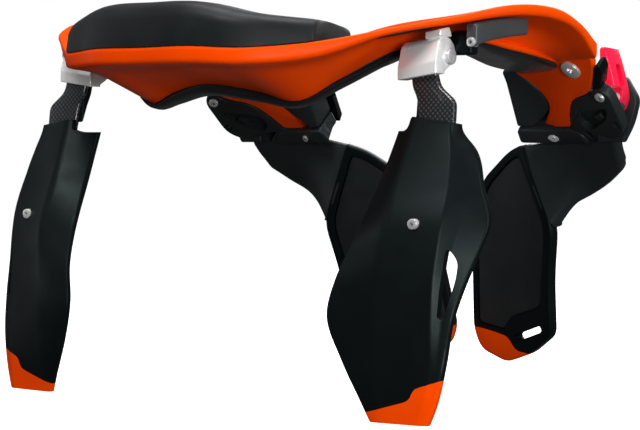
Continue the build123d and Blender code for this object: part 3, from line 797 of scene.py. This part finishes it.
def drawn_back(piece):
    """Curves the medial end towards the neck, more at the foot than at the top."""
    shape = bmesh.new()
    shape.from_mesh(piece.data)
    for x in range(DRAW_FROM - DRAW_REACH - 2, DRAW_FROM + 2, 4):
        bmesh.ops.bisect_plane(shape, geom=shape.verts[:] + shape.edges[:] + shape.faces[:],
                               plane_co=(x * MM, 0, 0), plane_no=(1, 0, 0))
    for height in range(DRAW_TOP - DRAW_FADE, DRAW_TOP + 2, 4):
        bmesh.ops.bisect_plane(shape, geom=shape.verts[:] + shape.edges[:] + shape.faces[:],
                               plane_co=(0, 0, (height + LIFT) * MM), plane_no=(0, 0, 1))
    for vertex in shape.verts:
        reach = min(1, max(0, (DRAW_FROM - vertex.co.x / MM) / DRAW_REACH))
        fade = min(1, max(0, (DRAW_TOP + LIFT - vertex.co.z / MM) / DRAW_FADE))
        vertex.co.y -= DRAW_DEPTH * reach * reach * (3 - 2 * reach) * fade * MM
    shape.to_mesh(piece.data)
    shape.free()
    piece.data.shade_smooth()
    piece.data.set_sharp_from_angle(angle=math.radians(35))
    return piece


FACE = [(-36, -12), (6, -14), (24, -10.5), (32, -9.5), (39.5, -3.5), (45.8, 21), (43.5, 27.8), (37.5, 28.2),
        (33, 24.1), (17.2, 20.6), (8.4, 10.7), (0.8, -1.5), (-31.7, -1.5)]
FACE_RADII = (4, 4, 4, 6, 6, 4, 3.5, 3.5, 2, 5, 5, 1.5, 1.5)
POCKET = [(13.5, 11), (38, 14), (33, 6), (28.6, 3), (14, -4), (9.5, 3)]
PIN_HOLE = ((36.5, 0.7), 2.4)
DOT = ((26, 5.5), 1.3)
PIN_AXIS = (132, 155.5)
HUB = (PIN_AXIS, 10)
BODY = [(-36, -12), (6, -14), (24, -8), (27, 0), (27, 22), (17, 21.6), (-0.6, 23.6), (-4, 14), (-21.5, -1.5),
        (-31.7, -1.5)]
BAND = [(-36.2, -12.2), (-31.8, -1.6), (0.5, -1.8), (7, -6), (8, -13.6)]

face = panel("latch_face", PLATE, FACE, -6, 0.6, 1.0, FACE_RADII)
carve(face, panel("pocket", PLATE, POCKET, -3.4, 6, 0.05, (5, 3, 3, 3, 6, 5)))
carve(face, bore(PLATE, *PIN_HOLE, -20, 20))
carve(face, bore(PLATE, *DOT, -20, 20))
carve(face, panel("blade", PLATE, [(6, -3), (13.5, -4.5), (12.5, -12.5)], -5, 5, 0.05, (1, 1.5, 0.6)))
blade_hook = panel("hook", PLATE, [(22, 6.4), (28, 8.4), (30, 5), (24, 2.4)], -5, -0.6, 0.5, 1)
backing = panel("backing", PLATE, BODY, -15, -4.9, 1.0, (4, 4, 4, 3, 1, 1, 1, 1, 1, 1.5))
carve(backing, bore(PLATE, *DOT, -20, 20))
carve(backing, bore(XZ, *HUB, 87, 97))
band = panel("band", PLATE, BAND, -1, 2.0, 1.2, (3.5, 2.5, 2, 4, 3))
stand_for_pair(drawn_back(joined("side_body", face, blade_hook, backing, band)), "side_body", painted_lit_black)
BLOCK = [(27.5, -7.5), (31, -9), (40, 0), (41.5, 8), (27.5, 10)]
FRONT_RAIL = [(116, 131), (131, 131), (136.5, 141), (140, 154.5), (131.5, 168), (126, 165), (126, 150),
              (116, 146)]
block = panel("block", PLATE, BLOCK, -20, -5.5, 1.0, (0.5, 2, 3, 2, 0.5))
carve(block, bore(XZ, *HUB, 87, 97))
carve(block, bore(PLATE, *PIN_HOLE, -30, 20))
front_rail = panel("front_rail", XZ, FRONT_RAIL, 97, 103, 0.8, (1, 1, 5, 4, 3, 3, 3, 1))
stand_for_pair(joined("latch_frame", block, front_rail), "latch_frame", painted_lit_black)
CORE = [(-21.5, 44), (-26, 24), (-31.6, -0.7), (-22.3, -0.7), (-4.9, 14.2), (-1.5, 24.2), (-5, 35), (-12, 45)]
core = panel("side_core", PLATE, CORE, -15, 0.4, 1.6, (3, 10, 3, 1, 8, 6, 6, 3))
stand_for_pair(drawn_back(core), "side_core", painted_lit_black)
STRIKE = [(35.5, 26.5), (41, 26), (51, 38.5), (52.5, 44.5), (48.5, 43.5)]
extra_pair(panel("strike", PLATE, STRIKE, -9, -0.8, 0.8, 1.5), "strike", "black")

pin_head = screw_head("pin_head", PLATE, (40, 23), 2.9, 2.2, -1.0, 1.3)
pin_rod = panel("pin_rod", XZ, disc(PIN_AXIS, 2.5), 74, 103.4, 0.4, 0.01, 1)
stand_for_pair(joined("latch_pin", pin_head, pin_rod), "latch_pin")
stand_for_pair(screw_head("side_screw", PLATE, (33, 44), 5.8, 1.6, -0.8, 2.3), "side_screw")
band_screw = screw_head("band_screw", PLATE, (-14, -7.5), 2.5, 3.2, 0.4, 1.1)
stand_for_pair(drawn_back(band_screw), "band_screw")

# --- Chest arm: a smooth bridge from the chest plate to the latch -------------------------------------------
ARM_ENDS = [  # upper corner, lower corner, forward direction, depth
    ((58, 111.5, 128), (77, 112.8, 80), (0.314, 0.933, 0.177), 9),
    ((82, 110.5, 131), (88.5, 117.3, 94), (0.28, 0.88, 0.38), 9),
    ((95, 108, 131.5), (98, 122, 99.5), (0.25, 0.82, 0.5), 9),
    ((110, 103.5, 132), (110, 120.5, 106), (0.22, 0.72, 0.65), 8.5),
    ((126, 98.5, 133), (122, 116, 114.5), (0.196, 0.655, 0.730), 8),
]


def arm_section(upper, lower, forward, depth):
    """Closed section of the arm, hollowed a little on its rear face."""
    upper, lower, forward = (np.array(v, float) for v in (upper, lower, forward))
    middle = (upper + lower) / 2 - forward * 1.5
    return [upper, middle, lower, lower + forward * depth, middle + forward * depth, upper + forward * depth]


arm_lines = smooth_along([arm_section(*end) for end in ARM_ENDS], 6)
arm_sections = domed_ends([rounded(line, (3, 14, 4.5, 3, 10, 3)) for line in arm_lines], 5)
stand_for_pair(skin("chest_arm", arm_sections), "chest_arm", painted_lit_black)

# --- Pad on the front table: crowned across its width ----------------------------------------------------
FRONT_PAD_CROWN = [  # share of the way from the inner arc to the outer one, height
    (0.02, 190.5), (0.02, 192), (0.12, 193.6), (0.5, 194.6), (0.88, 193.6), (0.98, 192), (0.98, 190.5)]
FRONT_PAD_STEPS = 16  # sections on each side of the middle


def front_pad_section(turn):
    """Section of the pad at an angle from straight ahead."""
    outer = np.array((86 * math.sin(turn), 104 + 50 * math.cos(turn)))
    inner = np.array((66 * math.sin(turn), 95 + 35 * math.cos(turn)))
    return [(*(inner + (outer - inner) * share), height) for share, height in FRONT_PAD_CROWN]


front_pad_turns = [(1 - k / FRONT_PAD_STEPS) * math.pi / 2 for k in range(2 * FRONT_PAD_STEPS + 1)]
front_pad_lines = [rounded(front_pad_section(turn), (0.3, 1, 2, 6, 2, 1, 0.3), 3) for turn in front_pad_turns]
stand_for(skin("front_cushion", domed_ends(front_pad_lines, 1.5)), "front_pad")

# --- Bead round the shoulder cushion ---------------------------------------------------------------------
BEAD_RADIUS = 1.9
BEAD_OUT, BEAD_UP = 2.2, 0.6  # from the shell's low edge
low_edge = np.array([stood_up(s, [(s.low[0] - BEAD_OUT, s.low[1] + BEAD_UP)])[0] for s in STATIONS[5:]])
bead_path = smooth_along(low_edge[:, None, :], 8)[:, 0]
bead_rings = []
for k, point in enumerate(bead_path):
    ahead = bead_path[min(k + 1, len(bead_path) - 1)] - bead_path[max(k - 1, 0)]
    side = np.cross(ahead, (0, 0, 1))
    side = side / np.linalg.norm(side)
    thick = BEAD_RADIUS * math.sin(math.pi * (k + 1) / (len(bead_path) + 1)) ** 0.5
    bead_rings.append([point + side * thick * math.cos(a) + np.array((0, 0, 1)) * thick * math.sin(a)
                       for a in np.linspace(0, 2 * math.pi, 13)[:-1]])
extra_pair(skin("shoulder_bead", bead_rings), "shoulder_bead", "orange")

# --- Latch lever -----------------------------------------------------------------------------------------
LEVER = [(128, 149.5), (131.5, 147), (134.5, 149), (136.5, 156), (135, 163), (132, 174), (128.8, 183),
         (126.2, 182), (126.4, 172), (125.6, 160)]
lever = panel("latch_lever", XZ, LEVER, 79, 96.5, 0.8, (3, 3, 4, 5, 8, 8, 1.6, 1.2, 6, 4))
FINGER_SLOT = [(86.3, 160.5), (91.8, 160.5), (91.8, 173.5), (86.3, 173.5)]
carve(lever, panel("finger_slot", YZ, FINGER_SLOT, 110, 160, 0.05, 2.6))
carve(lever, panel("pin_gap", XZ, [(118, 141), (150, 141), (150, 161.5), (118, 161.5)], 67, 87.6, 0.05, 1))
stand_for_pair(lever, "latch_lever")

# --- Everything else keeps its CAD mesh, with softened edges ---------------------------------------------
EDGE = {"table_post": 1.2, "front_table": 1.0}


def softened(piece, width):
    """Rolls the CAD mesh's edges with modifiers; the mesh itself stays."""
    weld = piece.modifiers.new("weld", "WELD")
    weld.merge_threshold = 0.002 * MM
    flat = piece.modifiers.new("flat", "DECIMATE")
    flat.decimate_type = "DISSOLVE"
    flat.angle_limit = math.radians(0.6)
    roll = piece.modifiers.new("roll", "BEVEL")
    roll.width = width * MM
    roll.segments = 3
    roll.limit_method = "ANGLE"
    roll.angle_limit = math.radians(24)
    roll.use_clamp_overlap = True
    roll.harden_normals = True


for node, piece in frame["nodes"].items():
    if piece.hide_render:
        continue
    look = LOOKS[SLOT_OF[node]]
    if not piece.data.materials:
        piece.data.materials.append(look)
    for index in range(len(piece.data.materials)):
        piece.data.materials[index] = look
    softened(piece, EDGE[node.removesuffix("_right").removesuffix("_left")])

# --- Floor and backdrop ------------------------------------------------------------------------------------
floor_mesh = bpy.data.meshes.new("floor")
floor_mesh.from_pydata([(-6, -6, 0), (6, -6, 0), (6, 6, 0), (-6, 6, 0)], [], [(0, 1, 2, 3)])
floor = bpy.data.objects.new("floor", floor_mesh)
floor.data.materials.append(floor_look.material)
floor.visible_diffuse = False
floor.visible_glossy = False
bpy.context.scene.collection.objects.link(floor)

backdrop_mesh = bpy.data.meshes.new("backdrop")
backdrop_form = bmesh.new()
bmesh.ops.create_uvsphere(backdrop_form, u_segments=48, v_segments=24, radius=5.9)
backdrop_form.to_mesh(backdrop_mesh)
backdrop_form.free()
backdrop_look = Look("studio_backdrop", Roughness=1.0, Emission_Strength=1.0)
backdrop_look.colour(backdrop_look.noise(1), (0.0, 0.0, 0.0), (0.0, 0.0, 0.0))
backdrop_look.shader.inputs["Emission Color"].default_value = (1, 1, 1, 1)
backdrop = bpy.data.objects.new("backdrop", backdrop_mesh)
backdrop.data.materials.append(backdrop_look.material)
backdrop.visible_diffuse = False
backdrop.visible_glossy = False
backdrop.visible_transmission = False
backdrop.visible_shadow = False
bpy.context.scene.collection.objects.link(backdrop)
